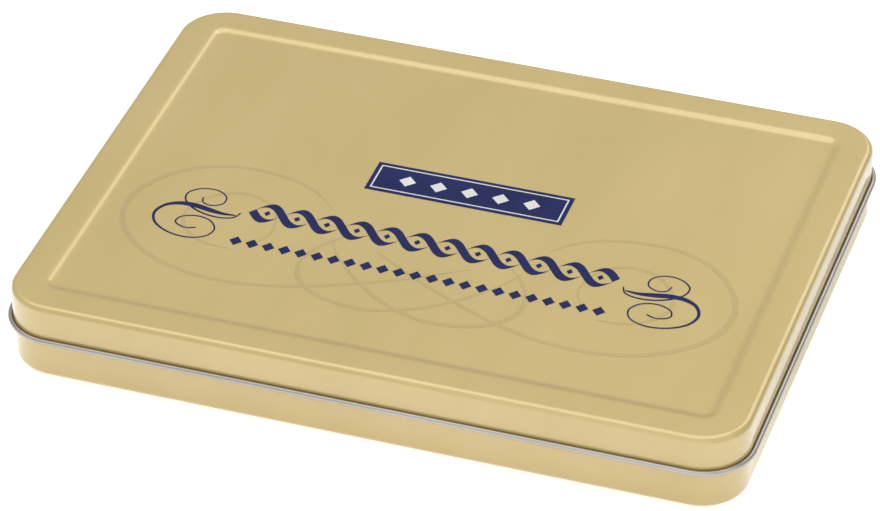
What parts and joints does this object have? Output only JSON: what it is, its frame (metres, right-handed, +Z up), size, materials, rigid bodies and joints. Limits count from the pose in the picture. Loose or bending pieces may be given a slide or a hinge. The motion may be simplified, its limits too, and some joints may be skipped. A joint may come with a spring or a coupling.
{
  "type": "calligraphy set box",
  "caption": "Flat hinged tin with rounded corners and a sunken lid panel; trays inside hold capped fountain pens, spare nib units, ink cartridges and a booklet.",
  "frame": {"origin": "middle of the underside, on the surface the box stands on", "axes": "+X along the hinge, to the right when seen from the front; +Y towards the hinge; +Z up"},
  "size_m": [0.223, 0.166, 0.025],
  "materials": {
    "gold_lacquer": "satin gold lacquer outside, bare tin on the inside and on the rolled edges",
    "steel_wire": "drawn wire",
    "tray_plastic": "flocked ivory surface",
    "pen_black": "polished",
    "pen_blue": "polished",
    "pen_red": "polished",
    "pen_green": "polished",
    "clip_steel": "bright",
    "grip_black": "semi-gloss",
    "feed_black": "moulded",
    "nib_steel": "polished steel",
    "ink_black": "clear plastic, filled",
    "ink_blue": "clear plastic, filled",
    "ink_red": "clear plastic, filled",
    "ink_green": "clear plastic, filled",
    "ink_violet": "clear plastic, filled",
    "page_paper": "uncoated",
    "cover_paper": "coated card"
  },
  "bodies": {
    "base": {"base": "gold_lacquer", "hinge_pin_left": "steel_wire", "hinge_pin_right": "steel_wire", "pen_tray": "tray_plastic", "cartridge_tray": "tray_plastic", "pen_1_cap": "pen_black", "pen_1_clip": "clip_steel", "pen_1_barrel": "pen_black", "pen_1_grip": "grip_black", "pen_1_feed": "feed_black", "pen_1_nib": "nib_steel", "pen_2_cap": "pen_blue", "pen_2_clip": "clip_steel", "pen_2_barrel": "pen_blue", "pen_2_grip": "grip_black", "pen_2_feed": "feed_black", "pen_2_nib": "nib_steel", "pen_3_cap": "pen_red", "pen_3_clip": "clip_steel", "pen_3_barrel": "pen_red", "pen_3_grip": "grip_black", "pen_3_feed": "feed_black", "pen_3_nib": "nib_steel", "pen_4_cap": "pen_green", "pen_4_clip": "clip_steel", "pen_4_barrel": "pen_green", "pen_4_grip": "grip_black", "pen_4_feed": "feed_black", "pen_4_nib": "nib_steel", "spare_1_grip": "grip_black", "spare_1_feed": "feed_black", "spare_1_nib": "nib_steel", "spare_2_grip": "grip_black", "spare_2_feed": "feed_black", "spare_2_nib": "nib_steel", "spare_3_grip": "grip_black", "spare_3_feed": "feed_black", "spare_3_nib": "nib_steel", "spare_4_grip": "grip_black", "spare_4_feed": "feed_black", "spare_4_nib": "nib_steel", "spare_5_grip": "grip_black", "spare_5_feed": "feed_black", "spare_5_nib": "nib_steel", "cartridges_black": "ink_black", "cartridges_blue": "ink_blue", "cartridges_red": "ink_red", "cartridges_green": "ink_green", "cartridges_violet": "ink_violet", "booklet_pages": "page_paper", "booklet_cover": "cover_paper", "booklet_staples": "steel_wire"},
    "lid": {"lid": "gold_lacquer"}
  },
  "joints": [
    {"name": "lid_hinge", "type": "hinge", "parent": "base", "child": "lid", "pos_m": [0, 0.08215, 0.01375], "axis": [-1, 0, 0], "range_deg": [0, 180]}
  ]
}
